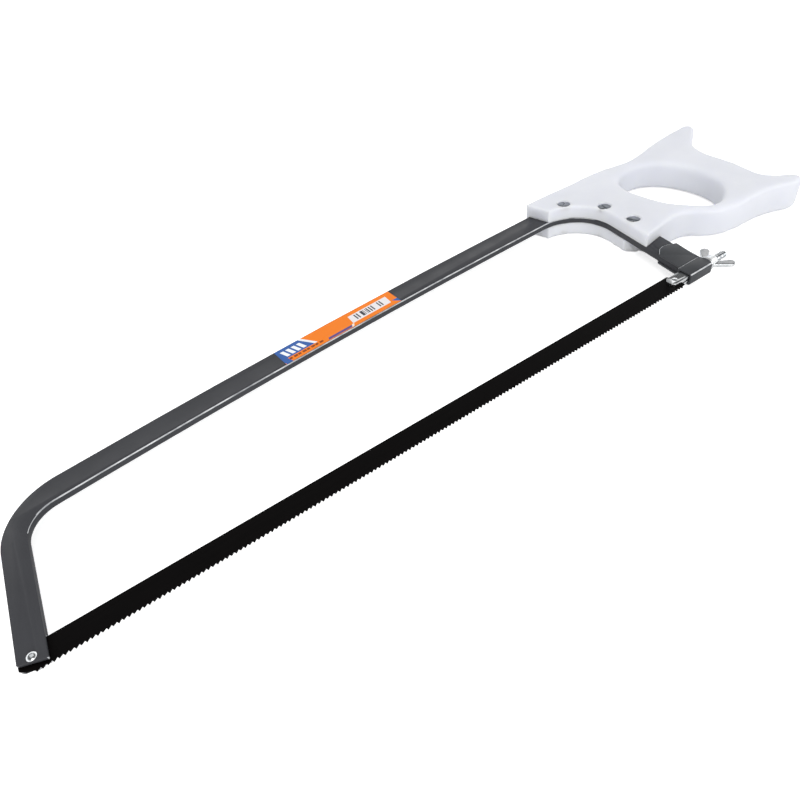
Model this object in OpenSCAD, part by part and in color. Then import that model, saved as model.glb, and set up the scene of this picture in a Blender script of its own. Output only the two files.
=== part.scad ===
// Bow hacksaw with a wide D handle, lying flat on its side.
// +X runs from the toe to the handle, +Y from the blade to the back of the bow, +Z up out of the saw's plane.
// The saw is drawn about its front blade pin, then moved so that the origin is on the handle's resting face.

/* [Blade] */
// Distance between the two blade pins
blade_length = 457; // [320:1:560]
// Height of the blade from back to tooth tips
blade_width = 16; // [13:0.5:22]
// Thickness of the blade steel
blade_thick = 0.7; // [0.5:0.05:1]
// Distance from one tooth to the next
tooth_pitch = 2.7; // [1.6:0.1:4]
// Depth of the gullets between the teeth
tooth_depth = 1.5; // [0.6:0.1:1.8]
// Distance from the front pin to the blade's nose
blade_nose = 7.6; // [6:0.1:9]
// Distance from the rear pin to the blade's tail
blade_tail = 4.6; // [4:0.1:8]

/* [Bow] */
// Thickness of the flat bar
bar_thick = 5; // [4:0.5:6]
// Width of the flat bar along the back and the rear leg
bar_width = 19.5; // [17:0.5:24]
// Width of the front leg
toe_leg_width = 15; // [13:0.5:17]
// Lean of the front leg from square to the blade
toe_lean = 3.3; // [1:0.1:6]
// Straight length of the front leg above the front pin
toe_leg_length = 74.4; // [50:0.2:100]
// Outer radius of the front bend
toe_bend_r = 44; // [38:0.5:55]
// Inner radius of the front bend
toe_inner_r = 22; // [18:0.5:26]
// Slope of the back where it leaves the front bend
back_slope_toe = 6; // [4.5:0.1:8]
// Slope of the back where it enters the rear bend
back_slope_heel = 1.5; // [0.5:0.1:2.5]
// Inner radius of the rear bend
heel_inner_r = 34; // [28:0.5:38]
// Lean of the rear leg from square to the blade
heel_lean = 8.5; // [5:0.1:11]
// Distance from the rear blade pin to the rear leg
pin_to_leg = 13.2; // [12:0.2:18]
// How far the front leg reaches below the pin at its front edge
toe_tip_front = 1.2; // [0.5:0.1:3]
// How far the front leg reaches below the pin at its rear edge
toe_tip_rear = 5.6; // [4:0.1:7]
// Extra length of the lower ear of the split leg end
lower_ear_extra = 0.1; // [0:0.1:2.5]

/* [Handle] */
// Thickness of the moulded handle
handle_thick = 26; // [22:0.5:32]
// Distance of the screws from the inner edge of the bow
screw_inset = 6.5; // [6:0.1:9]
// Height of the third screw above the blade line
screw_height = 67.7; // [58:0.5:76]
// Radius of a handle screw's head
screw_head_r = 5.4; // [4.5:0.1:6.5]
// Thickness of a handle screw's head
screw_head_h = 1.8; // [1.2:0.1:2.4]
// How far the screw heads lie below the face
screw_sink = 1.4; // [0.5:0.1:3]
// Radius of a handle screw's threaded shank
screw_r = 2; // [1.5:0.1:2.2]
// Outer radius of a barrel nut's sleeve
barrel_r = 2.9; // [2.6:0.1:3.2]

/* [Tensioner] */
// Height of the draw bar, along Y
draw_bar_h = 8.6; // [7:0.1:9.5]
// Thickness of the draw bar, along Z
draw_bar_t = 6.1; // [6.1:0.1:8]
// Length of the draw bar ahead of the rear blade pin
draw_bar_nose = 6; // [4.5:0.1:7]
// Length of the draw bar behind the rear blade pin
draw_bar_tail = 24; // [22:0.2:26]
// Sheet thickness of the folded sleeve
sheet = 1.5; // [1:0.1:2]
// Length of the sleeve along the blade
sleeve_length = 23; // [23:0.2:26]
// How far the sleeve's box stands ahead of the rear leg
sleeve_front = 3; // [2:0.1:4]
// Height of the sleeve's flanks up the rear leg at their middle
flank_height = 28; // [20:0.5:32]
// How far the sleeve's flanks overhang each edge of the rear leg
flank_overhang = 1; // [0.4:0.1:1.4]
// Radius of the draw bar's threaded stud
stud_r = 3; // [2.5:0.1:3]
// Length of the stud beyond the sleeve
stud_out = 21.5; // [18:0.5:26]
// Distance that one turn of the wing nut moves the draw bar
thread_pitch = 1; // [0.8:0.1:1.25]
// How many turns the wing nut is slackened to free the blade
slack_turns = 4; // [2:1:5]
// Radius of the wing nut's hub at the washer
hub_r = 5.6; // [5:0.1:6.5]
// Length of the wing nut's hub
hub_length = 8; // [6:0.2:10]
// Reach of the wings from the stud's axis
wing_reach = 14.5; // [12:0.1:17]
// Thickness of the wings
wing_thick = 2.6; // [2:0.1:3.4]

/* [Pins] */
// Radius of both blade pins
pin_r = 2; // [1.6:0.1:2.2]
// Radius of the front pin's domed head
pin_head_r = 2.9; // [2.6:0.1:3.6]
// Height of the front pin's domed head
pin_head_h = 1.6; // [1:0.1:2]
// Width across the flats of the front pin's nut
pin_nut_flats = 7; // [6:0.5:8]
// Thickness of the front pin's nut
pin_nut_h = 3.2; // [2.4:0.1:4]

/* [Label] */
// Distance from the front pin to the label
label_start = 195; // [90:1:195]
// Length of the label
label_length = 102; // [60:1:110]
// Bare bar left at each side of the label
label_margin = 0.9; // [0.5:0.1:2]
// Thickness of the label's film
label_thick = 0.15; // [0.1:0.05:0.3]

/* [Fits] */
// Radial gap of a thread in its nut
thread_gap = 0.05; // [0.02:0.01:0.1]
// Radial gap of a pressed pin
press_gap = 0.02; // [0.01:0.01:0.04]
// Radial gap round a pin or shank in a clearance hole
hole_gap = 0.15; // [0.1:0.05:0.3]
// Gap between the draw bar and the sleeve, on each side
slide_gap = 0.2; // [0.1:0.05:0.3]
// Gap beside the blade in each of its slots
slot_gap = 0.2; // [0.15:0.05:0.3]
// Gap between the bow and the slot in the handle
seat_gap = 0.1; // [0.05:0.05:0.2]

/* [Hidden] */
$fn = 64;

// Outlines: degrees between the points of a bend and of the long back, and spans between a curve's knots
arc_step = 3;
back_step = 0.25;
curve_steps = 5;
// A cut runs this far past the surface that it opens
through = 1;

function unit(a) = [cos(a), sin(a)];
function arc(centre, r, from, to, step = arc_step) =
    let (n = max(2, ceil(abs(to - from) / step)))
    [for (i = [0:n]) centre + r * unit(from + (to - from) * i / n)];

// A smooth closed or open curve through a list of knots
function blend(a, b, c, d, t) =
    0.5 * (2 * b + (c - a) * t + (2 * a - 5 * b + 4 * c - d) * t * t + (3 * b - a - 3 * c + d) * t * t * t);
function smooth_open(k) = let (n = len(k) - 1)
    [for (i = [0:n - 1], s = [0:curve_steps - 1])
        blend(k[max(i - 1, 0)], k[i], k[i + 1], k[min(i + 2, n)], s / curve_steps), k[n]];
function smooth_closed(k) = let (n = len(k))
    [for (i = [0:n - 1], s = [0:curve_steps - 1])
        blend(k[(i + n - 1) % n], k[i], k[(i + 1) % n], k[(i + 2) % n], s / curve_steps)];

// Front leg: "across" is square to the leg, "along" runs up it from the pin
toe_across = [cos(toe_lean), -sin(toe_lean)];
toe_along = [sin(toe_lean), cos(toe_lean)];
toe_bend = (toe_bend_r - toe_leg_width / 2) * toe_across + toe_leg_length * toe_along;

// Back of the bow: one long arc, tangent to both bends
toe_normal = unit(90 + back_slope_toe);
heel_normal = unit(90 + back_slope_heel);
heel_across = unit(-heel_lean);
heel_outer_r = heel_inner_r + bar_width;
leg_x = blade_length + pin_to_leg;
back_start = toe_bend + toe_bend_r * toe_normal;
back_r = (leg_x * cos(heel_lean) - heel_inner_r - (back_start - heel_outer_r * heel_normal) * heel_across)
         / ((heel_normal - toe_normal) * heel_across);
back_centre = back_start - back_r * toe_normal;
heel_bend = back_centre + (back_r - heel_outer_r) * heel_normal;

// Centre of the front bend's inner radius, tangent to the leg and to the back
toe_inner_across = toe_leg_width / 2 + toe_inner_r;
toe_inner_up = back_start * toe_normal - bar_width - toe_inner_r;
toe_inner = [toe_inner_across * cos(back_slope_toe) + toe_inner_up * sin(toe_lean),
             toe_inner_up * cos(toe_lean) + toe_inner_across * sin(back_slope_toe)]
            / cos(toe_lean + back_slope_toe);

// Tensioner: the sleeve's box round the draw bar
box_h = draw_bar_h + 2 * slide_gap + 2 * sheet;
box_t = draw_bar_t + 2 * slide_gap + 2 * sheet;
box_x = leg_x - sleeve_front;
box_end = box_x + sleeve_length;
slack = slack_turns * thread_pitch;
washer_t = 1.2;
washer_r = box_h / 2 - 0.2;
nut_x = box_end + washer_t;
slot_w = blade_thick + 2 * slot_gap;
leg_end_y = box_h / 2;

// Screws: two on the rear bend at these angles, one on the rear leg
screw_angles = [60, 12];
screw_ring = heel_inner_r + screw_inset;
screw_3_x = leg_x + screw_height * tan(heel_lean) + (screw_inset + 1.9) / cos(heel_lean);
screws = [heel_bend + screw_ring * unit(screw_angles[0]),
          heel_bend + screw_ring * unit(screw_angles[1]),
          [screw_3_x, screw_height]];
head_top = handle_thick / 2 - screw_sink;
head_base = head_top - screw_head_h;
barrel_top = bar_thick / 2 + 1.5;
shank_end = -bar_thick / 2 - 3;

// The resting point on the handle's lower face, which is the origin
rest_point = screws[1] + [18, -3];

// Handle: knots of its outline behind the rear bend's centre, from the front corner round to the leg
handle_knots = [[-2.7, 56.2], [38, 57], [78, 57.5], [100, 55], [116, 52.5], [130, 53.5], [152, 58.5],
                [174, 62], [195, 63.5], [204, 64], [209, 60], [206, 53], [190, 41], [177, 31],
                [170, 16], [169, 0], [169, -14], [167, -28], [165, -42], [167, -50], [173, -57],
                [179, -61], [182, -67], [179, -73], [169, -73], [157, -68], [142, -64.5], [128, -63.5],
                [114, -63.5], [102, -62], [89, -55], [79, -44.5], [67, -41], [50, -42.5]];
hand_hole_knots = [[75.5, 5], [75.5, 19], [82, 31], [93, 37.5], [108, 39], [123, 33.5], [133, 20],
                   [138, 2.5], [138, -16.5], [132, -32.5], [120, -43.5], [107, -49], [97, -46],
                   [87.5, -34], [80, -22], [77, -8]];
cheek_low_y = 42.7;
lower_cheek_y = screw_height - screw_head_r - 3;
front_wall_x = 3;

module place() translate([-rest_point[0], -rest_point[1], handle_thick / 2]) children();

// A rod along X, from x to x + l
module rod(x, r, l) translate([x, 0, 0]) rotate([0, 90, 0]) cylinder(r = r, h = l);

// End of the front leg: its upper ear is cut off along a slant, its lower ear is longer with a round corner
ear_corner_r = 3.5;
ear_corner = (ear_corner_r - toe_leg_width / 2) * toe_across - toe_tip_front * toe_along;
tip_front = -toe_leg_width / 2 * toe_across - toe_tip_front * toe_along;
tip_rear = toe_leg_width / 2 * toe_across - toe_tip_rear * toe_along;
tip_slant = atan2(tip_rear[1] - tip_front[1], tip_rear[0] - tip_front[0]);

// The bow's outline, grown by g on its faces towards the handle
function bow_points(g = 0) = concat(
    arc(ear_corner, ear_corner_r, 270 - toe_lean, 180 - toe_lean, 15),
    arc(toe_bend, toe_bend_r, 180 - toe_lean, 90 + back_slope_toe),
    arc(back_centre, back_r + g, 90 + back_slope_toe - back_step, 90 + back_slope_heel, back_step),
    arc(heel_bend, heel_outer_r + g, 90 + back_slope_heel, -heel_lean),
    [[leg_x + (bar_width + g) / cos(heel_lean) + (leg_end_y - g) * tan(heel_lean), leg_end_y - g],
     [leg_x + leg_end_y * tan(heel_lean), leg_end_y - g]],
    arc(heel_bend, heel_inner_r, -heel_lean, 90 + back_slope_heel),
    arc(back_centre, back_r - bar_width, 90 + back_slope_heel, 90 + back_slope_toe, back_step),
    arc(toe_inner, toe_inner_r, 90 + back_slope_toe, 180 - toe_lean),
    [tip_rear - lower_ear_extra * toe_along]);

module bow_frame() {
    color([0.28, 0.29, 0.30]) place() {
        difference() {
            translate([0, 0, -bar_thick / 2]) linear_extrude(bar_thick) polygon(bow_points());
            translate([tip_front[0], tip_front[1], 0]) rotate(tip_slant)
                translate([-toe_leg_width / 2, -toe_leg_width, 0])
                    cube([2 * toe_leg_width, toe_leg_width, bar_thick]);
            cylinder(r = pin_r + hole_gap, h = 2 * bar_thick, center = true);
            translate([-toe_leg_width, -blade_width, -slot_w / 2])
                cube([2 * toe_leg_width, 1.5 * blade_width + through, slot_w]);
            for (s = screws)
                translate([s[0], s[1], -bar_thick])
                    cylinder(r = barrel_r + hole_gap, h = 2 * bar_thick);
        }
    }
}

module handle() {
    sweep = smooth_open([for (k = handle_knots) heel_bend + k]);
    outline = concat(sweep,
        [[leg_x + cheek_low_y * tan(heel_lean), cheek_low_y]],
        arc(heel_bend, heel_inner_r, -heel_lean, acos(front_wall_x / heel_inner_r)));
    hand_hole = smooth_closed([for (k = hand_hole_knots) heel_bend + k]);
    slot = bar_thick + 2 * seat_gap;
    color([0.93, 0.93, 0.95]) place() difference() {
        translate([0, 0, -handle_thick / 2]) linear_extrude(handle_thick)
            difference() {
                polygon(outline);
                polygon(hand_hole);
            }
        translate([0, 0, -slot / 2]) linear_extrude(slot) {
            polygon(bow_points(seat_gap));
            // the slot's mouth, open towards the throat of the saw
            polygon([heel_bend, heel_bend + [0, heel_inner_r + 2 * seat_gap],
                     heel_bend + [heel_inner_r * 0.8, heel_inner_r * 0.62],
                     heel_bend + (heel_inner_r + 2 * seat_gap) * unit(-heel_lean),
                     [leg_x + cheek_low_y / 2 * tan(heel_lean) + 2 * seat_gap, cheek_low_y / 2]]);
        }
        // the lower cheek stops just past the third screw
        translate([0, 0, -handle_thick]) linear_extrude(handle_thick)
            polygon([[leg_x - bar_width, cheek_low_y / 2], [leg_x - bar_width, lower_cheek_y],
                     [leg_x + bar_width, lower_cheek_y], [leg_x + 1.6 * bar_width, cheek_low_y / 2]]);
        for (s = screws) translate([s[0], s[1], 0]) {
            cylinder(r = barrel_r + hole_gap, h = 2 * handle_thick, center = true);
            for (side = [-1, 1])
                mirror([0, 0, side < 0 ? 1 : 0]) translate([0, 0, head_base - press_gap])
                    cylinder(r = screw_head_r + hole_gap, h = handle_thick);
        }
    }
}

// A slotted binding screw, dropped in from above
module handle_screw(i) {
    slot_depth = screw_head_h / 2;
    color([0.30, 0.31, 0.33]) place() translate([screws[i][0], screws[i][1], 0]) {
        difference() {
            translate([0, 0, head_base]) cylinder(r = screw_head_r, h = screw_head_h);
            rotate(35 + 40 * i) translate([-screw_head_r * 1.5, -0.6, head_top - slot_depth])
                cube([screw_head_r * 3, 1.2, screw_head_h]);
        }
        translate([0, 0, shank_end]) cylinder(r = screw_r, h = head_base - shank_end);
    }
}

// The barrel nut that meets each screw from below
module handle_nut(i) {
    color([0.30, 0.31, 0.33]) place() translate([screws[i][0], screws[i][1], 0])
    difference() {
        union() {
            translate([0, 0, -head_top]) cylinder(r = screw_head_r, h = screw_head_h);
            translate([0, 0, -head_base]) cylinder(r = barrel_r, h = head_base + barrel_top);
        }
        translate([0, 0, shank_end - through]) cylinder(r = screw_r + thread_gap, h = handle_thick);
        rotate(20 + 50 * i) translate([-screw_head_r * 1.5, -0.6, -head_top - screw_head_h / 2])
            cube([screw_head_r * 3, 1.2, screw_head_h]);
    }
}

module label() {
    inner_r = back_r - bar_width + label_margin;
    outer_r = back_r - label_margin;
    from = acos((label_start - back_centre[0]) / back_r);
    to = acos((label_start + label_length - back_centre[0]) / back_r);
    color([0.95, 0.50, 0.10]) place() translate([0, 0, bar_thick / 2]) linear_extrude(label_thick)
        polygon(concat(arc(back_centre, outer_r, from, to, back_step),
                       arc(back_centre, inner_r, to, from, back_step)));
}

// Teeth lean towards the toe, so the saw cuts on the push stroke
module blade() {
    tip_y = -blade_width / 2;
    back_y = blade_width / 2;
    root_y = tip_y + tooth_depth;
    tail_x = blade_length + blade_tail;
    teeth = floor((blade_length + blade_tail / 2) / tooth_pitch);
    rake = 0.28 * tooth_pitch;
    cut = concat(
        [[-blade_nose, -blade_nose * 0.35], [-blade_nose * 0.62, root_y + tooth_depth]],
        [for (i = [0:teeth - 1], p = [[-rake, root_y], [0, tip_y]]) [i * tooth_pitch + p[0], p[1]]],
        [[teeth * tooth_pitch - rake, root_y], [tail_x - blade_tail * 0.3, root_y]]);
    color([0.06, 0.06, 0.06]) place() translate([0, 0, -blade_thick / 2]) linear_extrude(blade_thick)
    difference() {
        polygon(concat(cut, [[tail_x, -blade_tail * 0.5], [tail_x, blade_tail * 0.5],
                             [tail_x - blade_tail * 0.7, back_y], [-blade_nose * 0.5, back_y],
                             [-blade_nose, blade_nose * 0.4]]));
        circle(r = pin_r + hole_gap);
        // the rear hole is long, so that the draw bar's pin can run forward in it
        translate([blade_length, 0]) circle(r = pin_r + hole_gap);
        translate([blade_length - slack - hole_gap, 0]) circle(r = pin_r + hole_gap);
        translate([blade_length - slack - hole_gap, -pin_r - hole_gap])
            square([slack + hole_gap, 2 * (pin_r + hole_gap)]);
    }
}

// A screw with a low domed head, which the blade's front hole hooks over
module front_pin() {
    dome_r = (pin_head_r * pin_head_r + pin_head_h * pin_head_h) / (2 * pin_head_h);
    low = -bar_thick / 2 - pin_nut_h - 0.8;
    color([0.80, 0.81, 0.82]) place() {
        translate([0, 0, low]) cylinder(r = pin_r, h = bar_thick / 2 - low);
        translate([0, 0, bar_thick / 2]) intersection() {
            translate([0, 0, pin_head_h - dome_r]) sphere(r = dome_r);
            cylinder(r = 2 * pin_head_r, h = 2 * pin_head_h);
        }
    }
}

module front_pin_nut() {
    color([0.72, 0.73, 0.74]) place() translate([0, 0, -bar_thick / 2 - pin_nut_h]) difference() {
        cylinder(r = pin_nut_flats / 2 / cos(30), h = pin_nut_h, $fn = 6);
        translate([0, 0, -through]) cylinder(r = pin_r + thread_gap, h = pin_nut_h + 2 * through);
    }
}

// A strap folded into a box under the leg end, its two flanks welded to the leg's faces
module tension_sleeve() {
    flank_top = leg_end_y + flank_height;
    flank_z = bar_thick / 2 + seat_gap / 2;
    shoulder = 1.5;
    left = leg_x - flank_overhang;
    right = leg_x + bar_width / cos(heel_lean) + flank_overhang;
    dome = 6;
    fold_r = 2;
    color([0.24, 0.25, 0.26]) place() {
        difference() {
            rotate([90, 0, 90]) translate([0, 0, box_x]) linear_extrude(sleeve_length) union() {
                translate([-box_h / 2, -box_t / 2 + fold_r]) square([box_h, box_t - 2 * fold_r]);
                translate([-box_h / 2 + fold_r, -box_t / 2]) square([box_h - fold_r, box_t]);
                for (side = [-1, 1])
                    translate([-box_h / 2 + fold_r, side * (box_t / 2 - fold_r)]) circle(r = fold_r);
            }
            translate([box_x - through, -draw_bar_h / 2 - slide_gap, -draw_bar_t / 2 - slide_gap])
                cube([sleeve_length + 2 * through, draw_bar_h + 2 * slide_gap,
                      draw_bar_t + 2 * slide_gap]);
        }
        for (side = [0, 1]) mirror([0, 0, side]) translate([0, 0, flank_z]) linear_extrude(sheet)
            polygon([[left + leg_end_y * tan(heel_lean), leg_end_y - through / 4],
                     [left + (flank_top - dome) * tan(heel_lean), flank_top - dome],
                     [left + flank_top * tan(heel_lean) + bar_width * 0.25, flank_top - dome * 0.2],
                     [left + flank_top * tan(heel_lean) + bar_width * 0.5, flank_top],
                     [left + flank_top * tan(heel_lean) + bar_width * 0.75, flank_top - dome * 0.2],
                     [right + (flank_top - dome) * tan(heel_lean), flank_top - dome * 0.7],
                     [min(right + leg_end_y * tan(heel_lean), box_end), leg_end_y - through / 4]]);
    }
}

// The slotted bar that grips the blade's tail, with its threaded stud
module draw_bar() {
    nose_x = blade_length - draw_bar_nose;
    shank_end_x = blade_length + draw_bar_tail;
    slot_end = blade_length + blade_tail + slack + 6;
    bevel = 2.2;
    color([0.80, 0.81, 0.82]) place() {
        difference() {
            translate([0, 0, -draw_bar_t / 2]) linear_extrude(draw_bar_t)
                polygon([[nose_x, -draw_bar_h / 2 + bevel], [nose_x + bevel, -draw_bar_h / 2],
                         [shank_end_x, -draw_bar_h / 2], [shank_end_x, draw_bar_h / 2],
                         [nose_x + bevel, draw_bar_h / 2], [nose_x, draw_bar_h / 2 - bevel]]);
            translate([nose_x - through, -draw_bar_h, -slot_w / 2])
                cube([slot_end - nose_x + through, 2 * draw_bar_h, slot_w]);
            translate([blade_length, 0, -draw_bar_t])
                cylinder(r = pin_r + press_gap, h = 2 * draw_bar_t);
        }
        rod(shank_end_x, stud_r, box_end + stud_out - shank_end_x);
    }
}

module rear_blade_pin() {
    color([0.72, 0.73, 0.74]) place() translate([blade_length, 0, -draw_bar_t / 2])
        cylinder(r = pin_r, h = draw_bar_t);
}

module thrust_washer() {
    color([0.80, 0.81, 0.82]) place() difference() {
        rod(box_end, washer_r, washer_t);
        rod(box_end - through, stud_r + hole_gap, washer_t + 2 * through);
    }
}

module wing_nut() {
    tip_r = 3.6;
    tip_x = 12.6;
    root_x = 2;
    run_gap = 0.1;
    color([0.82, 0.83, 0.84]) place() translate([nut_x + run_gap, 0, 0]) difference() {
        union() {
            rotate([0, 90, 0]) cylinder(r1 = hub_r, r2 = hub_r - 1.2, h = hub_length);
            for (side = [0, 1]) mirror([0, side, 0])
                translate([0, 0, -wing_thick / 2]) linear_extrude(wing_thick) union() {
                    translate([tip_x, wing_reach - tip_r]) circle(r = tip_r);
                    polygon([[root_x, 3.4], [root_x, hub_r - 0.3], [tip_x - 3, wing_reach - 1.6],
                             [tip_x + 2.9, wing_reach - tip_r - 2.1], [hub_length - 0.6, 3.4]]);
                }
        }
        rod(-through, stud_r + thread_gap, 40);
    }
}

bow_frame();
handle();
handle_screw(0);  // handle_screw_1
handle_screw(1);  // handle_screw_2
handle_screw(2);  // handle_screw_3
handle_nut(0);  // handle_nut_1
handle_nut(1);  // handle_nut_2
handle_nut(2);  // handle_nut_3
label();
blade();
front_pin();
front_pin_nut();
tension_sleeve();
draw_bar();
rear_blade_pin();
thrust_washer();
wing_nut();
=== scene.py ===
# %% [markdown]
# # A bow hacksaw on a white table
# The saw has a flat steel bow, a long black blade, a milky white handle and a bright zinc tensioner.
# The frame comes first: it holds every piece at its real place and size, and each piece made here replaces
# or dresses one of its nodes, so nothing has to be fitted afterwards.

# %% Load the frame
import math

import bmesh
import bpy
import numpy as np
from mathutils import Matrix, Vector
from mathutils.kdtree import KDTree


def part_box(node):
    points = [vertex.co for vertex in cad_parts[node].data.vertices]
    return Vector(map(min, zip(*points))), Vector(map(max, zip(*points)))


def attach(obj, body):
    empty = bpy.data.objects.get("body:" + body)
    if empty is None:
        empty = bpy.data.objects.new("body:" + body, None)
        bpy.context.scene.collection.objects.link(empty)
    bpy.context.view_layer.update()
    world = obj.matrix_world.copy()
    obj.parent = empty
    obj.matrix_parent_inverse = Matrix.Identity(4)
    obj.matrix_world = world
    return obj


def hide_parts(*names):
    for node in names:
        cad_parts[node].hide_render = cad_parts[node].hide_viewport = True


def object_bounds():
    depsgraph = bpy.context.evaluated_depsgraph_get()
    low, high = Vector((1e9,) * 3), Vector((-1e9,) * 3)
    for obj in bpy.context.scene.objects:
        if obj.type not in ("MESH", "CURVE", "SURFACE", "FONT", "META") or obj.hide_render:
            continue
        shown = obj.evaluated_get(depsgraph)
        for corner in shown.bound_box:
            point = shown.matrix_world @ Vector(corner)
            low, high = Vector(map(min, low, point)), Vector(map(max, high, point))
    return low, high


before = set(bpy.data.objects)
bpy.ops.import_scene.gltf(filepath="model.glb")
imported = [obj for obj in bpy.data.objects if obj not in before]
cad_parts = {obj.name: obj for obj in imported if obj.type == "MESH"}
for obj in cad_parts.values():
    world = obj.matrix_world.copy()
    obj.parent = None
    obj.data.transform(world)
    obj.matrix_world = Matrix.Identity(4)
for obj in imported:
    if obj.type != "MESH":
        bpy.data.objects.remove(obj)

MM = 0.001
CAD_BOX = [list(corner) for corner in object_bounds()]

# %% [markdown]
# ## Camera
# A product camera stands over the toe of the saw and looks up along it, so the toe is near and the handle is
# far. It could be aimed with a constraint, but three angles say the same thing plainly: which way it faces,
# how far it looks down, and how far it is rolled. The lens is short and close, which makes the toe loom.

# %% Camera
CAMERA_AT = Vector((-407.9, -332.6, 298.4)) * MM
FACING_DEG = 27.3        # turned from +Y towards +X
LOOKING_DOWN_DEG = 43.3
ROLL_DEG = -9.75
LENS_MM = 29.26
SENSOR_MM = 36.0


def camera_axes(facing, down, roll):
    """Right, up and back directions of a camera, as columns."""
    f, d, r = (math.radians(a) for a in (facing, down, roll))
    ahead = Vector((math.sin(f) * math.cos(d), math.cos(f) * math.cos(d), -math.sin(d)))
    level = ahead.cross(Vector((0, 0, 1))).normalized()
    lift = level.cross(ahead)
    right = level * math.cos(r) + lift * math.sin(r)
    return Matrix((right, right.cross(ahead), -ahead)).transposed()


camera = bpy.data.objects.new("camera", bpy.data.cameras.new("camera"))
bpy.context.scene.collection.objects.link(camera)
camera.data.lens, camera.data.sensor_width = LENS_MM, SENSOR_MM
camera.data.clip_start, camera.data.clip_end = 0.01, 20
camera.matrix_world = Matrix.Translation(CAMERA_AT) @ camera_axes(
    FACING_DEG, LOOKING_DOWN_DEG, ROLL_DEG).to_4x4()
bpy.context.scene.camera = camera
print("camera at", tuple(round(c, 3) for c in CAMERA_AT))

# %% [markdown]
# ## Helpers for nodes and colours
# Shader trees and geometry trees are both built by adding a node, setting it and linking it, so one small
# function does that for all of them. Colours are written as sRGB hex values, as on a paint card, and one
# function turns them into the linear values that the renderer needs. Nearly every finish here is the same
# three things: a colour that clouds, a gloss that varies and a fine relief. Each has a small function, and
# is driven by noise whose scale is a real size in millimetres.


# %% Node and colour helpers
def linear(hex_colour):
    """An sRGB hex colour as linear RGBA."""
    parts = [int(hex_colour[i:i + 2], 16) / 255 for i in (1, 3, 5)]
    return tuple(p / 12.92 if p <= 0.04045 else ((p + 0.055) / 1.055) ** 2.4 for p in parts) + (1.0,)


def add(tree, kind, inputs=None, **settings):
    """Adds a node; inputs are values or sockets to link from, by name or number."""
    made = tree.nodes.new(kind)
    for name, value in settings.items():
        setattr(made, name, value)
    for key, value in (inputs or {}).items():
        if isinstance(value, bpy.types.NodeSocket):
            tree.links.new(value, made.inputs[key])
        else:
            made.inputs[key].default_value = value
    return made


def start_material(name, **sockets):
    """A new material: returns it, its tree and its principled shader, with plain sockets set by name."""
    material = bpy.data.materials.new(name)
    material.use_nodes = True
    tree = material.node_tree
    tree.nodes.clear()
    shader = add(tree, "ShaderNodeBsdfPrincipled", {k.replace("_", " "): v for k, v in sockets.items()})
    add(tree, "ShaderNodeOutputMaterial", {"Surface": shader.outputs[0]})
    return material, tree, shader


# %% Noise and the three things that it drives
NOISE_LOW, NOISE_HIGH = 0.3, 0.7      # noise spends nearly all its time between these


def grain(tree, size_mm, detail=2.0, stretch=(1, 1, 1)):
    """Noise whose blotches are about size_mm across; stretch lengthens them along an axis."""
    place = add(tree, "ShaderNodeTexCoord").outputs["Object"]
    turned = add(tree, "ShaderNodeMapping", {"Vector": place, "Scale": tuple(1 / s for s in stretch)})
    return add(tree, "ShaderNodeTexNoise", {"Vector": turned.outputs[0], "Scale": 1 / (size_mm * MM),
                                            "Detail": detail}).outputs[0]


def cloud_colour(tree, shader, noise, dark, light):
    """Lets the colour wander between two hex colours."""
    share = add(tree, "ShaderNodeMapRange", {"Value": noise, "From Min": NOISE_LOW, "From Max": NOISE_HIGH})
    mixed = add(tree, "ShaderNodeMix", {0: share.outputs[0], 6: linear(dark), 7: linear(light)},
                data_type="RGBA")
    tree.links.new(mixed.outputs[2], shader.inputs["Base Color"])


def vary_gloss(tree, shader, noise, low, high):
    """Lets the roughness wander: low where the noise is low, high where it is high."""
    rough = add(tree, "ShaderNodeMapRange", {"Value": noise, "From Min": NOISE_LOW, "From Max": NOISE_HIGH,
                                             "To Min": low, "To Max": high})
    tree.links.new(rough.outputs[0], shader.inputs["Roughness"])


def raise_relief(tree, shader, noise, depth_mm, strength):
    """Gives the surface a relief depth_mm deep."""
    relief = add(tree, "ShaderNodeBump", {"Height": noise, "Distance": depth_mm * MM, "Strength": strength})
    tree.links.new(relief.outputs[0], shader.inputs["Normal"])


# %% [markdown]
# ## Satin stove enamel on the bow
# The bow is a flat bar of mild steel, bent cold and sprayed with dark grey stove enamel. The enamel flows a
# little before it sets, so it has a shallow orange-peel surface about 2 mm across and a satin gloss. The
# bright line along its corners is a painted highlight: the rounded corners get their own pale, glossy
# material, so the line stays with the geometry.


# %% Stove enamel and the painted corner highlight
def stove_enamel(name, dark, light, rough_low, rough_high):
    """Satin dark grey enamel with orange peel and handling marks."""
    material, tree, shader = start_material(name, Specular_IOR_Level=0.25)
    cloud_colour(tree, shader, grain(tree, 38, 3), dark, light)
    vary_gloss(tree, shader, grain(tree, 14, 4), rough_low, rough_high)
    raise_relief(tree, shader, grain(tree, 2.2), 0.02, 0.5)
    return material


def painted_corner_highlight():
    """Painted highlight for the corners: paler and glossier than the enamel face."""
    material, tree, shader = start_material("enamel_painted_corner_highlight", Metallic=0.2)
    patch = grain(tree, 9, 3)
    # These pale colours paint a bright highlight onto the corners.
    cloud_colour(tree, shader, patch, "#8a8d91", "#e2e4e6")
    vary_gloss(tree, shader, patch, 0.24, 0.4)
    return material


BOW_PAINT = stove_enamel("stove_enamel_grey", "#37383c", "#3c3d41", 0.42, 0.52)
SLEEVE_PAINT = stove_enamel("stove_enamel_dark", "#3a3c3f", "#434549", 0.38, 0.48)
# The corner material is a painted highlight for the rounded corners of the bow and the sleeve.
CORNER_HIGHLIGHT = painted_corner_highlight()
print("enamels", BOW_PAINT.name, SLEEVE_PAINT.name, CORNER_HIGHLIGHT.name)

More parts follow.
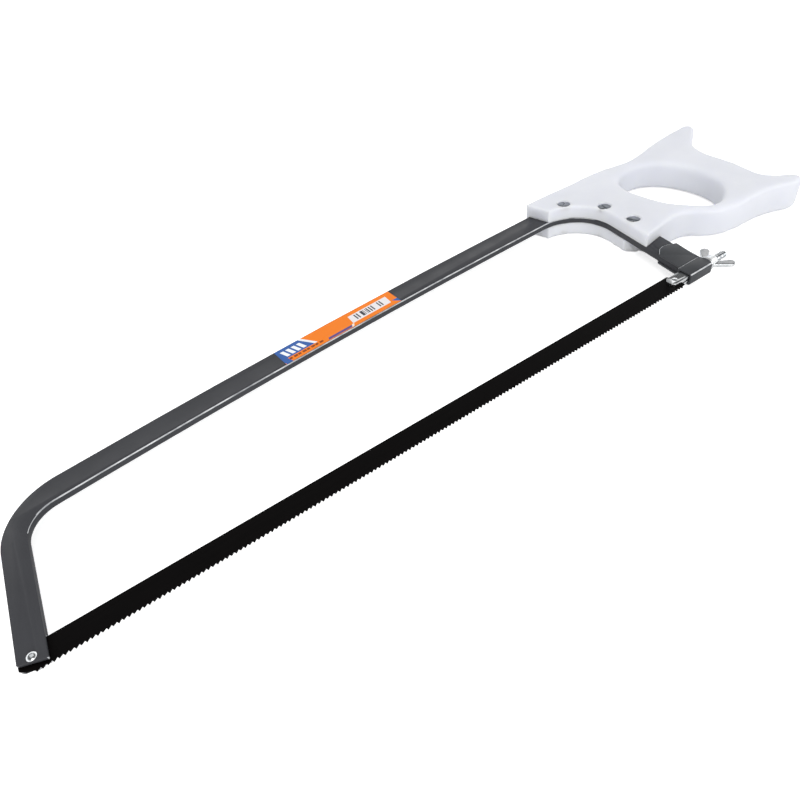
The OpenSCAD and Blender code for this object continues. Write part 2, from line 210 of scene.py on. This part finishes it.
# %% [markdown]
# ## Other finishes
# Bright zinc plate is a thin electroplated coat: clear, slightly blue, with a soft haze where the rack held
# the part. The binding screws are nickel plated dark. The blade is cold rolled spring steel, dipped in black
# lacquer, with rolling lines along its length. The handle is injection moulded natural polyethylene, which
# is milky because light goes a few millimetres into it, and its mould leaves a fine spark-eroded grain.


# %% Zinc, nickel, lacquer and polyethylene
def plated(name, dark, light, rough_low, rough_high, haze_mm):
    """A plated metal with a cloudy haze: the paler it is, the glossier."""
    material, tree, shader = start_material(name, Metallic=1.0)
    haze = grain(tree, haze_mm, 3)
    cloud_colour(tree, shader, haze, dark, light)
    vary_gloss(tree, shader, haze, rough_high, rough_low)
    raise_relief(tree, shader, grain(tree, haze_mm / 6), 0.01, 0.4)
    return material


def black_lacquer():
    """Dipped black lacquer on rolled steel: near black, with long faint rolling lines."""
    material, tree, shader = start_material("black_lacquer_on_spring_steel", Specular_IOR_Level=0.04)
    lines = grain(tree, 0.9, 3, stretch=(30, 1, 1))
    cloud_colour(tree, shader, lines, "#060505", "#0a0808")
    vary_gloss(tree, shader, lines, 0.42, 0.58)
    raise_relief(tree, shader, lines, 0.012, 0.5)
    return material


def natural_polyethylene():
    """Milky moulded polyethylene with a fine mould grain and slow flow clouds."""
    material, tree, shader = start_material(
        "natural_polyethylene_moulded", IOR=1.51, Specular_IOR_Level=0.35, Subsurface_Weight=0.6,
        Subsurface_Radius=(1.0, 1.0, 1.15), Subsurface_Scale=7 * MM)
    cloud_colour(tree, shader, grain(tree, 45, 3), "#dadce3", "#e1e3e9")
    vary_gloss(tree, shader, grain(tree, 6, 3), 0.4, 0.52)
    raise_relief(tree, shader, grain(tree, 0.8), 0.03, 0.35)
    return material


ZINC = plated("bright_zinc_plate", "#c9cdd0", "#ecedee", 0.14, 0.24, 5)
NICKEL = plated("dark_nickel_plate", "#7e838a", "#a9adb3", 0.24, 0.36, 4)
BLADE_LACQUER = black_lacquer()
POLYETHYLENE = natural_polyethylene()
print("finishes", ZINC.name, NICKEL.name, BLADE_LACQUER.name, POLYETHYLENE.name)

# %% [markdown]
# ## Mesh helpers
# A node of the frame is a loose triangle mesh with knife-sharp corners. A dressed piece starts from a copy:
# its triangles are merged and joined into whole faces, then a Bevel modifier rounds each corner by the
# radius that the real part has, and the new corner faces can take their own material.


# %% Mesh helpers
def merged_copy(node):
    """A bmesh of a node with its doubles merged and its flat faces joined."""
    bm = bmesh.new()
    bm.from_mesh(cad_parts[node].data)
    bmesh.ops.remove_doubles(bm, verts=bm.verts, dist=0.002 * MM)
    bmesh.ops.dissolve_limit(bm, angle_limit=math.radians(0.6), verts=bm.verts, edges=bm.edges)
    return bm


def piece_from(bm, name, *materials):
    """A new object at the origin from a bmesh."""
    mesh = bpy.data.meshes.new(name)
    bm.to_mesh(mesh)
    bm.free()
    piece = bpy.data.objects.new(name, mesh)
    bpy.context.scene.collection.objects.link(piece)
    for material in materials:
        mesh.materials.append(material)
    return piece


def settle(piece, sharp_deg=35):
    """Turns a piece's modifiers into plain mesh, and smooths it except at sharp corners."""
    depsgraph = bpy.context.evaluated_depsgraph_get()
    mesh = bpy.data.meshes.new_from_object(piece.evaluated_get(depsgraph))
    piece.modifiers.clear()
    piece.data = mesh
    mesh.shade_smooth()
    mesh.set_sharp_from_angle(angle=math.radians(sharp_deg))
    return piece


CORNER_STEPS = 2


def soften(piece, radius_mm, corner_slot=0, limit_deg=32, clamp=True):
    """Rounds every corner sharper than limit_deg, and gives the new faces a material slot."""
    bevel = piece.modifiers.new("corners", "BEVEL")
    bevel.width, bevel.segments = radius_mm * MM, CORNER_STEPS
    bevel.limit_method, bevel.angle_limit = "ANGLE", math.radians(limit_deg)
    bevel.material = corner_slot
    bevel.use_clamp_overlap = clamp
    bevel.miter_outer = "MITER_ARC"
    return settle(piece, 30)


def dress(piece, body, slot, *nodes):
    """Seats a finished piece on its body, in place of its nodes."""
    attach(piece, body)
    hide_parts(*nodes)
    triangles = sum(len(p.vertices) - 2 for p in piece.data.polygons)
    print(piece.name, "rides on", body, "triangles", triangles)
    return piece


# %% [markdown]
# ## The bow
# One flat bar makes the toe leg, the back and the heel leg. Shearing and bending leave its corners with a
# radius of a few tenths of a millimetre. The whole outline is already in the frame, so the bow only needs
# its corners rounded. The rounded corners that face the blade carry a painted highlight in a pale, glossy
# material; the other corners go back to plain enamel.

# %% Bow
BOW_CORNER_MM = 0.6
PIN_CLEAR_MM = 4
FACES_BLADE = -0.3       # a face whose normal's Y is lower than this looks towards the blade
# The second material is the painted highlight, laid on the bevelled corners.
bow = piece_from(merged_copy("bow_frame"), "bow", BOW_PAINT, CORNER_HIGHLIGHT)
soften(bow, BOW_CORNER_MM, corner_slot=1, clamp=False)
pin_low, pin_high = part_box("front_pin")
pin_middle = (pin_low + pin_high) / 2
# Only the corners that face the blade keep the painted highlight; the rest go back to plain enamel.
for face in bow.data.polygons:
    beside_pin = (face.center - pin_middle).xy.length < PIN_CLEAR_MM * MM
    if face.normal.y > FACES_BLADE or beside_pin:
        face.material_index = 0
dress(bow, "root", "bow_paint", "bow_frame")

# %% [markdown]
# ## The handle
# The handle is one thick moulding. Its rims are rounded so far that they flow into the faces, so a plain
# bevel would fold over itself at the horns. Instead the outline is read from the frame, raised into a solid,
# remeshed into even cells and relaxed: relaxing rounds every rim, and more passes round it more. The bow's
# slot and the screw recesses stay crisp, so they are cut afterwards.

# %% Outline of the handle
HANDLE_CELL_MM = 1.3
handle_low, handle_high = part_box("handle")


def rim_loops(bm, height):
    """Closed loops of points round the flat face at a height, longest first."""
    top = {f for f in bm.faces if all(abs(v.co.z - height) < 0.01 * MM for v in f.verts)}
    edges = [e for e in bm.edges if sum(f in top for f in e.link_faces) == 1]
    neighbours = {}
    for edge in edges:
        a, b = edge.verts
        neighbours.setdefault(a, []).append(b)
        neighbours.setdefault(b, []).append(a)
    loops, seen = [], set()
    for first in neighbours:
        if first in seen:
            continue
        loop, last, here = [], None, first
        while here not in seen:
            seen.add(here)
            loop.append(here.co.xy.copy())
            ways = [v for v in neighbours[here] if v is not last and v not in seen]
            last, here = here, ways[0] if ways else first
        loops.append(loop)
    return sorted(loops, key=lambda p: -sum((p[i] - p[i - 1]).length for i in range(len(p))))


handle_mesh = merged_copy("handle")
handle_rims = rim_loops(handle_mesh, handle_high.z)
handle_mesh.free()
print("handle rims", [len(r) for r in handle_rims])


# %% Raise, remesh and relax the handle
def prism(loop, low, high):
    """A closed bmesh prism over a loop."""
    bm = bmesh.new()
    base = bm.faces.new([bm.verts.new((p.x, p.y, low)) for p in loop])
    walls = bmesh.ops.extrude_face_region(bm, geom=[base])
    top = [v for v in walls["geom"] if isinstance(v, bmesh.types.BMVert)]
    bmesh.ops.translate(bm, verts=top, vec=(0, 0, high - low))
    bmesh.ops.recalc_face_normals(bm, faces=bm.faces)
    return bm


def cut(piece, cutter):
    """Takes a cutter's shape out of a piece and throws the cutter away."""
    knife = piece.modifiers.new("cut", "BOOLEAN")
    knife.operation, knife.solver, knife.object = "DIFFERENCE", "EXACT", cutter
    settle(piece, 38)
    bpy.data.objects.remove(cutter)


PAST = 5 * MM            # how far a cutter reaches past the faces that it cuts
handle = piece_from(prism(handle_rims[0], handle_low.z, handle_high.z), "moulded_handle", POLYETHYLENE)
cut(handle, piece_from(prism(handle_rims[1], handle_low.z - PAST, handle_high.z + PAST), "hand_hole"))
remesh = handle.modifiers.new("cells", "REMESH")
remesh.mode, remesh.voxel_size = "VOXEL", HANDLE_CELL_MM * MM
settle(handle)
print("handle cells", len(handle.data.polygons))

# %% [markdown]
# The cheeks that hold the bow are flatter than the grip, so relaxing is weighted: full strength at the grip
# and horns, and much less ahead of the screws, where the moulding only has a small radius. The hand hole's
# edge is rounder than the outer rim, because fingers close round it, so a second and longer round of
# relaxing works on that edge alone.

# %% Weighted relaxing
RIM_PASSES, HOLE_PASSES = 45, 110
SOFT_FROM = handle_low.x + 20 * MM
SOFT_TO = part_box("handle_screw_3")[1].x + 25 * MM
CHEEK_SHARE = 0.12
HOLE_NEAR, HOLE_FAR = 6 * MM, 18 * MM    # full strength up to the first, none past the second
hole_points = KDTree(len(handle_rims[1]))
for index, point in enumerate(handle_rims[1]):
    hole_points.insert((point.x, point.y, 0), index)
hole_points.balance()


def relax_by(piece, passes, share_at):
    """Relaxes a piece; share_at gives the strength at a place, from 0 to 1."""
    group = piece.vertex_groups.new(name="softness")
    for vertex in piece.data.vertices:
        group.add([vertex.index], min(max(share_at(vertex.co), 0), 1), "REPLACE")
    relax = piece.modifiers.new("relax", "SMOOTH")
    relax.factor, relax.iterations, relax.vertex_group = 0.5, passes, group.name
    settle(piece)
    piece.vertex_groups.clear()


def share_along(at):
    """Little on the cheeks, rising to full strength just behind the third screw."""
    return max(CHEEK_SHARE, (at.x - SOFT_FROM) / (SOFT_TO - SOFT_FROM))


def share_by_hole(at):
    """Full strength near the hand hole's edge, and none far from it."""
    distance = hole_points.find((at.x, at.y, 0))[2]
    return (HOLE_FAR - distance) / (HOLE_FAR - HOLE_NEAR)


relax_by(handle, RIM_PASSES, share_along)
relax_by(handle, HOLE_PASSES, share_by_hole)
print("handle relaxed", len(handle.data.vertices), "points")


# %% Cut the slot and the screw recesses
SLOT_GROWTH = 1.06
RECESS_MM, RECESS_GAP_MM = 1.8, 0.25
SCREWS = (1, 2, 3)
bow_low, bow_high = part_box("bow_frame")
bow_middle_z = (bow_low.z + bow_high.z) / 2


def slot_cutter():
    """The bow's slot, open towards the throat: the hull of the bow, a little thicker."""
    bm = merged_copy("bow_frame")
    for vertex in bm.verts:
        vertex.co.z = bow_middle_z + (vertex.co.z - bow_middle_z) * SLOT_GROWTH
    hull = bmesh.ops.convex_hull(bm, input=bm.verts)
    loose = [g for g in hull["geom_interior"] + hull["geom_unused"] if isinstance(g, bmesh.types.BMVert)]
    bmesh.ops.delete(bm, geom=list(set(loose)), context="VERTS")
    inner = [f for f in bm.faces if f not in set(hull["geom"])]
    bmesh.ops.delete(bm, geom=inner, context="FACES_ONLY")
    bmesh.ops.recalc_face_normals(bm, faces=bm.faces)
    return piece_from(bm, "slot_cutter")


def recess_cutter(node, outward):
    """A round recess over a screw or nut head, open at the face; outward is 1 upwards, -1 downwards."""
    low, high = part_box(node)
    seat = (high.z if outward > 0 else low.z) - outward * RECESS_MM * MM
    reach = 20 * MM
    radius = (high.x - low.x) / 2 + RECESS_GAP_MM * MM
    bm = bmesh.new()
    bmesh.ops.create_cone(bm, cap_ends=True, segments=48, radius1=radius, radius2=radius, depth=reach)
    middle = Vector(((low.x + high.x) / 2, (low.y + high.y) / 2, seat + outward * reach / 2))
    bmesh.ops.translate(bm, verts=bm.verts, vec=middle)
    return piece_from(bm, "recess_cutter")


def lower_cheek_cutter():
    """The gap where the lower cheek tapers off, just past the third nut."""
    past_mm = 3
    step = Vector((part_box("tension_sleeve")[0].x + past_mm * MM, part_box("handle_nut_3")[0].y - past_mm * MM))
    # In mm from the step: the side from (17, 0) to (9, 8.5) is the cheek's slanted end.
    outline_mm = ((-20, -50), (31, -38), (19.5, 0), (17, 0), (9, 8.5), (-20, 8.5))
    outline = [step + Vector(p) * MM for p in outline_mm]
    return piece_from(prism(outline, handle_low.z - PAST, bow_middle_z), "lower_cheek")


cut(handle, slot_cutter())
cut(handle, lower_cheek_cutter())
for number in SCREWS:
    cut(handle, recess_cutter(f"handle_screw_{number}", 1))
    cut(handle, recess_cutter(f"handle_nut_{number}", -1))
handle.data.materials.clear()
handle.data.materials.append(POLYETHYLENE)
dress(handle, "root", "handle_plastic", "handle")

# %% [markdown]
# ## Screws and barrel nuts
# Three slotted binding screws clamp the cheeks on the bow, and their barrel nuts come up from below. The
# turned heads have a small radius at the rim and at the slot, which is what makes them read as metal.

# %% Screws and nuts
HEAD_CORNER_MM = 0.3
for number in SCREWS:
    for kind in ("screw", "nut"):
        node = f"handle_{kind}_{number}"
        head = piece_from(merged_copy(node), f"binding_{kind}_{number}", NICKEL)
        soften(head, HEAD_CORNER_MM)
        dress(head, "root", "dark_screw", node)

# %% [markdown]
# ## The blade
# The blade is a strip of spring steel with about 170 punched and set teeth: each tooth leans to the other
# side from the one before it, so the kerf comes out wider than the strip. The strip is a copy of the
# frame's blade cut off at the gullet line. The teeth repeat, so Geometry Nodes place one tooth on a line of
# points and tilt every second one the other way.

# %% Blade strip
blade_low, blade_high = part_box("blade")
NEAR_TIP = 0.01 * MM
tip_xs = [v.co.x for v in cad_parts["blade"].data.vertices if v.co.y < blade_low.y + NEAR_TIP]
tip_xs = np.unique(np.round(tip_xs, 6))
PITCH = float(np.diff(tip_xs).min())
TOOTH_HEIGHT = 1.5 * MM
gullet_y = blade_low.y + TOOTH_HEIGHT
strip_mesh = merged_copy("blade")
everything = list(strip_mesh.verts) + list(strip_mesh.edges) + list(strip_mesh.faces)
bmesh.ops.bisect_plane(strip_mesh, geom=everything, plane_co=(0, gullet_y + 0.02 * MM, 0),
                       plane_no=(0, -1, 0), clear_outer=True)
bmesh.ops.holes_fill(strip_mesh, edges=[e for e in strip_mesh.edges if e.is_boundary])
strip = piece_from(strip_mesh, "blade_strip", BLADE_LACQUER)
settle(strip)
dress(strip, "root", "blade_black", "blade")
print("teeth", len(tip_xs), "pitch mm", round(PITCH / MM, 3))


# %% One tooth and its row
def one_tooth():
    """A tooth on its base line: upright rake face towards the toe, long back towards the handle."""
    half = (blade_high.z - blade_low.z) / 2
    rake, back, root = 0.28 * PITCH, 0.72 * PITCH, 0.25 * MM
    side = [(-rake, root), (-rake, 0), (0, -TOOTH_HEIGHT), (back, 0), (back, root)]
    bm = bmesh.new()
    face = bm.faces.new([bm.verts.new((x, y, -half)) for x, y in side])
    raised = bmesh.ops.extrude_face_region(bm, geom=[face])
    bmesh.ops.translate(bm, verts=[v for v in raised["geom"] if isinstance(v, bmesh.types.BMVert)],
                        vec=(0, 0, 2 * half))
    bmesh.ops.recalc_face_normals(bm, faces=bm.faces)
    return piece_from(bm, "one_tooth", BLADE_LACQUER)


def grow(name, tree, **values):
    """Runs a geometry tree on an empty object with named inputs, and keeps the result as plain mesh."""
    bm = bmesh.new()
    piece = piece_from(bm, name)
    growth = piece.modifiers.new("growth", "NODES")
    growth.node_group = tree
    sockets = {s.name: s.identifier for s in tree.interface.items_tree if s.in_out == "INPUT"}
    for label, value in values.items():
        growth[sockets[label]] = value
    return settle(piece)


def open_tree(name, **inputs):
    """A geometry tree with named inputs; returns it, its input node and a function that ends it."""
    tree = bpy.data.node_groups.new(name, "GeometryNodeTree")
    tree.interface.new_socket("Geometry", in_out="OUTPUT", socket_type="NodeSocketGeometry")
    for label, kind in inputs.items():
        tree.interface.new_socket(label, in_out="INPUT", socket_type=f"NodeSocket{kind}")
    entry = tree.nodes.new("NodeGroupInput")

    def close(geometry, material):
        real = add(tree, "GeometryNodeRealizeInstances", {0: geometry})
        dressed = add(tree, "GeometryNodeSetMaterial", {0: real.outputs[0], "Material": material})
        add(tree, "NodeGroupOutput", {0: dressed.outputs[0]})
    return tree, entry, close


def tooth_row_tree(tooth):
    """Teeth on a line of points, set to alternate sides."""
    tree, entry, close = open_tree("tooth_row", Count="Int", Pitch="Float", First="Vector", Set="Float")
    step = add(tree, "ShaderNodeCombineXYZ", {"X": entry.outputs["Pitch"]})
    line = add(tree, "GeometryNodeMeshLine", {"Count": entry.outputs["Count"], "Offset": step.outputs[0],
                                              "Start Location": entry.outputs["First"]})
    odd = add(tree, "ShaderNodeMath", {0: add(tree, "GeometryNodeInputIndex").outputs[0], 1: 2.0},
              operation="MODULO")
    side = add(tree, "ShaderNodeMath", {0: odd.outputs[0], 1: 2.0, 2: -1.0}, operation="MULTIPLY_ADD")
    lean = add(tree, "ShaderNodeMath", {0: side.outputs[0], 1: entry.outputs["Set"]}, operation="MULTIPLY")
    tilt = add(tree, "ShaderNodeCombineXYZ", {"X": lean.outputs[0]})
    source = add(tree, "GeometryNodeObjectInfo", {"Object": tooth})
    row = add(tree, "GeometryNodeInstanceOnPoints", {"Points": line.outputs[0],
                                                     "Instance": source.outputs["Geometry"],
                                                     "Rotation": tilt.outputs[0]})
    close(row.outputs[0], BLADE_LACQUER)
    return tree


SET_DEG = 8.0
tooth = one_tooth()
mid_z = (blade_low.z + blade_high.z) / 2
teeth = grow("blade_teeth", tooth_row_tree(tooth), Count=len(tip_xs), Pitch=PITCH,
             First=(float(tip_xs[0]), gullet_y, mid_z), Set=math.radians(SET_DEG))
bpy.data.objects.remove(tooth)
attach(teeth, "root")
print("tooth row", len(teeth.data.polygons), "faces")

# %% [markdown]
# ## The tensioner
# A strap of sheet steel is folded round the draw bar and welded to the heel leg. Folding leaves an outer
# radius of about the sheet's thickness. The draw bar inside is zinc plated, and its stud carries an M6
# thread: one ridge that winds round the stud, so Geometry Nodes sweep a small four-sided profile along a
# spiral.

# %% Sleeve, pins and washer
SLEEVE_CORNER_MM = 0.5
LEANS_LEAST, LEANS_MOST = 0.5, 0.87    # a part of the normal between these: the face lies aslant
CUT_END = 0.3                          # a normal's X past this: the face is at a cut end of the strap
sleeve = piece_from(merged_copy("tension_sleeve"), "folded_sleeve", SLEEVE_PAINT, CORNER_HIGHLIGHT)
soften(sleeve, SLEEVE_CORNER_MM, corner_slot=1, clamp=False)
# Folds that face the blade keep the painted highlight on their corners; the strap's cut ends lose it.
for face in sleeve.data.polygons:
    highlit_fold = face.normal.y < -LEANS_LEAST and LEANS_LEAST < abs(face.normal.z) < LEANS_MOST
    if highlit_fold:
        face.material_index = 1        # the folds on the teeth's side get the painted highlight, like the bow's corners
    elif abs(face.normal.x) > CUT_END:
        face.material_index = 0        # the strap's cut ends keep plain enamel, without the painted highlight
dress(sleeve, "root", "sleeve_paint", "tension_sleeve")
for node, corner_mm in (("front_pin_nut", 0.3), ("thrust_washer", 0.2), ("front_pin", 0.2)):
    part = piece_from(merged_copy(node), f"plated_{node}", ZINC)
    soften(part, corner_mm)
    dress(part, "root", "bright_zinc", node)
pin = piece_from(merged_copy("rear_blade_pin"), "plated_rear_pin", ZINC)
soften(pin, 0.15)
dress(pin, "draw_bar", "bright_zinc", "rear_blade_pin")

# %% Draw bar with a slimmer stud core
bar_low, bar_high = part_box("draw_bar")
axis_y, axis_z = (bar_low.y + bar_high.y) / 2, (bar_low.z + bar_high.z) / 2
washer_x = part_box("thrust_washer")[0].x
STUD_R = 3.0 * MM
CORE_R = 2.55 * MM
STUD_FROM = washer_x - 12 * MM
bar_mesh = merged_copy("draw_bar")
for vertex in bar_mesh.verts:
    across = Vector((vertex.co.y - axis_y, vertex.co.z - axis_z))
    if vertex.co.x > STUD_FROM and across.length < STUD_R * 1.01:
        vertex.co.y = axis_y + across.x * CORE_R / STUD_R
        vertex.co.z = axis_z + across.y * CORE_R / STUD_R
draw_bar = piece_from(bar_mesh, "slotted_draw_bar", ZINC)
soften(draw_bar, 0.35, limit_deg=40)
dress(draw_bar, "draw_bar", "bright_zinc", "draw_bar")


# %% Thread on the stud
def thread_tree():
    """A ridge that winds along X."""
    tree, entry, close = open_tree("thread", Turns="Float", Radius="Float", Length="Float",
                                   Ridge="Float", Start="Vector")
    spiral = add(tree, "GeometryNodeCurveSpiral", {"Resolution": 20, "Rotations": entry.outputs["Turns"],
                                                   "Start Radius": entry.outputs["Radius"],
                                                   "End Radius": entry.outputs["Radius"],
                                                   "Height": entry.outputs["Length"]})
    profile = add(tree, "GeometryNodeCurvePrimitiveCircle", {"Resolution": 4,
                                                             "Radius": entry.outputs["Ridge"]})
    ridge = add(tree, "GeometryNodeCurveToMesh", {"Curve": spiral.outputs[0],
                                                  "Profile Curve": profile.outputs[0],
                                                  "Fill Caps": True})
    laid = add(tree, "GeometryNodeTransform", {"Geometry": ridge.outputs[0],
                                               "Translation": entry.outputs["Start"],
                                               "Rotation": (0, math.pi / 2, 0)})
    close(laid.outputs[0], ZINC)
    return tree


THREAD_PITCH = 1.0 * MM
THREAD_RIDGE = 0.43 * MM
thread_start = washer_x - 8 * MM
thread_length = bar_high.x - THREAD_PITCH - thread_start
thread = grow("stud_thread", thread_tree(), Turns=thread_length / THREAD_PITCH, Radius=CORE_R,
              Length=thread_length, Ridge=THREAD_RIDGE, Start=(thread_start, axis_y, axis_z))
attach(thread, "draw_bar")
print("thread", len(thread.data.polygons), "faces")

# %% [markdown]
# ## The wing nut
# The wing nut is a small zinc casting: hub and wings flow into each other with generous fillets. A remesh of
# the frame's nut into fine cells, relaxed a few passes, gives that cast look in one go, with no seams
# between hub and wings.

# %% Wing nut
WING_CELL_MM = 0.32
CAST_PASSES = 7
wing = piece_from(merged_copy("wing_nut"), "cast_wing_nut", ZINC)
cells = wing.modifiers.new("cells", "REMESH")
cells.mode, cells.voxel_size = "VOXEL", WING_CELL_MM * MM
cast = wing.modifiers.new("cast", "SMOOTH")
cast.factor, cast.iterations = 0.5, CAST_PASSES
settle(wing, 60)
wing.data.materials.clear()
wing.data.materials.append(ZINC)
dress(wing, "wing_nut", "wing_nut_zinc", "wing_nut")

# %% [markdown]
# ## The label
# A printed film is stuck along the back of the bow: orange, with a blue block that carries white bars at its
# left end, a thin violet strip low in the middle, and a white panel with dark bars at its right end.
# Printing is flat colour, so each shape is a test on the label's own length and width, made from a few
# compare nodes. The film itself is the frame's thin strip, seen through a coat of clear gloss.

# %% Label axes
label_points = np.array([v.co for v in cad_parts["label"].data.vertices])
label_middle = label_points.mean(0)
spread_axes = np.linalg.svd(label_points[:, :2] - label_middle[:2], full_matrices=False)[2]
label_along = spread_axes[0] * np.sign(spread_axes[0][0])
label_angle = math.atan2(label_along[1], label_along[0])
label_run = (label_points[:, :2] - label_middle[:2]) @ label_along
label_left = label_middle[:2] + label_along * label_run.min()
LABEL_LENGTH_MM = float(label_run.max() - label_run.min()) / MM
print("label length mm", round(LABEL_LENGTH_MM, 1), "slope deg", round(math.degrees(label_angle), 2))


# %% Label print
ORANGE, BLUE, WHITE, BROWN = "#f37f10", "#3561a8", "#eef1f5", "#8a3f0c"
STRIPE_WHITE, VIOLET, CREAM, PANEL_WHITE, BAR_GREY = "#f4f6f8", "#5d4f86", "#f3e6d6", "#e9e6e8", "#3f4148"
BARS_PER_MM = 0.9        # dark and pale bars on the white panel, on average


def printed_film():
    """Flat printed shapes on orange film, under a clear gloss."""
    material, tree, shader = start_material("printed_label_film", Specular_IOR_Level=0.3,
                                            Coat_Weight=0.1, Coat_Roughness=0.12)
    offset = Matrix.Rotation(-label_angle, 2) @ Vector((-label_left[0], -label_left[1]))
    turned = add(tree, "ShaderNodeMapping", {"Vector": add(tree, "ShaderNodeTexCoord").outputs["Object"],
                                             "Location": (offset.x / MM, offset.y / MM, 0),
                                             "Rotation": (0, 0, -label_angle),
                                             "Scale": (1 / MM, 1 / MM, 1 / MM)})
    split = add(tree, "ShaderNodeSeparateXYZ", {0: turned.outputs[0]})
    along, across = split.outputs[0], split.outputs[1]

    def both(first, second):
        """1 where both masks are 1."""
        return add(tree, "ShaderNodeMath", {0: first, 1: second}, operation="MULTIPLY").outputs[0]

    def between(value, low, high):
        """1 where a value lies between two limits."""
        return add(tree, "ShaderNodeMath", {0: value, 1: (low + high) / 2, 2: (high - low) / 2},
                   operation="COMPARE").outputs[0]

    def panel(x0, x1, y0, y1, slant=0.0):
        """1 inside a box, in mm from the left end and the middle line; slant leans it as it rises."""
        leaned = add(tree, "ShaderNodeMath", {0: across, 1: -slant, 2: along}, operation="MULTIPLY_ADD")
        return both(between(leaned.outputs[0], x0, x1), between(across, y0, y1))

    def paint(below, mask, colour):
        """A colour laid over what is below it, where the mask is 1."""
        return add(tree, "ShaderNodeMix", {0: mask, 6: below, 7: linear(colour)},
                   data_type="RGBA").outputs[2]

    colour = paint(linear(ORANGE), panel(-20, 27.5, -3.6, 12, -0.6), WHITE)
    colour = paint(colour, panel(-20, 25, -3.6, 12, -0.6), BLUE)
    colour = paint(colour, panel(-2, 3.2, -12, 12, -0.3), BLUE)
    for start in (4.5, 9, 13.5, 18):
        colour = paint(colour, panel(start, start + 2.8, -2.0, 5.4, -0.3), STRIPE_WHITE)
    for index in range(8):
        start = 5 + index * 3.6
        colour = paint(colour, panel(start, start + 2.2 + (index % 2) * 0.8, -6.6, -4.6), BROWN)
    colour = paint(colour, panel(40, 62, -8.2, -5.6, 0.4), VIOLET)
    colour = paint(colour, panel(62, 64, -8.2, -5.2, 0.6), CREAM)
    colour = paint(colour, panel(61, 96, -4.8, 4.6, 0.12), PANEL_WHITE)
    lengthwise = add(tree, "ShaderNodeCombineXYZ", {"X": along})
    stripes = add(tree, "ShaderNodeTexNoise", {"Vector": lengthwise.outputs[0], "Scale": BARS_PER_MM,
                                               "Detail": 0.0})
    dark = add(tree, "ShaderNodeMath", {0: stripes.outputs[0], 1: 0.5}, operation="GREATER_THAN")
    colour = paint(colour, both(panel(64.5, 93, -3.2, 3.4), dark.outputs[0]), BAR_GREY)
    colour = paint(colour, panel(94, 112, -12, -3.4, -0.9), BLUE)
    tree.links.new(colour, shader.inputs["Base Color"])
    vary_gloss(tree, shader, grain(tree, 12, 3), 0.3, 0.42)
    return material


LABEL_FILM = printed_film()
label_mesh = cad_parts["label"].data
label_mesh.materials.clear()
label_mesh.materials.append(LABEL_FILM)

# %% [markdown]
# ## Table, world and lamps
# The saw lies on a plain white sweep under large soft lamps. The table must come out as pure white yet keep
# a faint shadow, so its material gives off most of its white itself and reflects the rest. The camera sees a
# white world. Glossy rays see a bright sweep round the horizon and a dark room overhead, which is what gives
# bright metal its contrast. All other rays get a dimmer world, so that the lamps shape the pieces.

# %% Table
TABLE_Z = CAD_BOX[0][2] - 0.2 * MM
TABLE_SIZE = 6.0
TABLE_GLOW = 0.62        # how much of its white the table gives off, as the camera sees it
table_mesh = bmesh.new()
bmesh.ops.create_grid(table_mesh, x_segments=1, y_segments=1, size=TABLE_SIZE / 2)
bmesh.ops.translate(table_mesh, verts=table_mesh.verts, vec=(0, 0, TABLE_Z))
laminate, tree, shader = start_material("white_table_laminate", Roughness=0.9, Specular_IOR_Level=0.0)
shader.inputs["Base Color"].default_value = linear("#f2f2f2")
rays = add(tree, "ShaderNodeLightPath")
seen = add(tree, "ShaderNodeMath", {0: rays.outputs["Is Camera Ray"], 1: TABLE_GLOW}, operation="MULTIPLY")
glow = add(tree, "ShaderNodeEmission", {"Color": (1, 1, 1, 1), "Strength": seen.outputs[0]})
both = add(tree, "ShaderNodeAddShader", {0: shader.outputs[0], 1: glow.outputs[0]})
tree.links.new(both.outputs[0], tree.nodes["Material Output"].inputs["Surface"])
table = piece_from(table_mesh, "table", laminate)
print("table at height", round(TABLE_Z, 4))

# %% World
WORLD_LIGHT = 0.7
SWEEP_GLOSS = 1.5        # what metal sees round the horizon and below it
CEILING_GLOSS = 0.12     # what metal sees overhead
SWEEP_ENDS, CEILING_STARTS = 0.35, 0.6   # the height of a direction, from 0 level to 1 overhead
world = bpy.data.worlds.new("white_sweep")
bpy.context.scene.world = world
world.use_nodes = True
tree = world.node_tree
tree.nodes.clear()
rays = add(tree, "ShaderNodeLightPath")
height = add(tree, "ShaderNodeSeparateXYZ", {0: add(tree, "ShaderNodeTexCoord").outputs["Generated"]})
reflected = add(tree, "ShaderNodeMapRange", {"Value": height.outputs["Z"], "From Min": SWEEP_ENDS,
                                            "From Max": CEILING_STARTS, "To Min": SWEEP_GLOSS,
                                            "To Max": CEILING_GLOSS})
glossy = add(tree, "ShaderNodeMapRange", {"Value": rays.outputs["Is Glossy Ray"], "To Min": WORLD_LIGHT,
                                         "To Max": reflected.outputs[0]})
strength = add(tree, "ShaderNodeMapRange", {"Value": rays.outputs["Is Camera Ray"],
                                           "To Min": glossy.outputs[0], "To Max": 1.0})
sky = add(tree, "ShaderNodeBackground", {"Color": (1, 1, 1, 1), "Strength": strength.outputs[0]})
add(tree, "ShaderNodeOutputWorld", {"Surface": sky.outputs[0]})
print("world", world.name, "light", WORLD_LIGHT)


# %% Lamps
def soft_lamp(name, at, towards, size, watts):
    """A square area lamp that faces a point."""
    lamp = bpy.data.lights.new(name, "AREA")
    lamp.shape, lamp.size, lamp.energy = "SQUARE", size, watts
    holder = bpy.data.objects.new(name, lamp)
    bpy.context.scene.collection.objects.link(holder)
    holder.location = at
    holder.rotation_euler = (Vector(towards) - Vector(at)).to_track_quat("-Z", "Y").to_euler()
    return holder


saw_middle = (Vector(CAD_BOX[0]) + Vector(CAD_BOX[1])) / 2
soft_lamp("overhead", saw_middle + Vector((-0.1, 0.35, 1.5)), saw_middle, size=1.6, watts=6.6)
soft_lamp("front_fill", saw_middle + Vector((-0.3, -1.4, 0.8)), saw_middle, size=1.2, watts=12)
scene = bpy.context.scene
scene.view_settings.view_transform = "Standard"
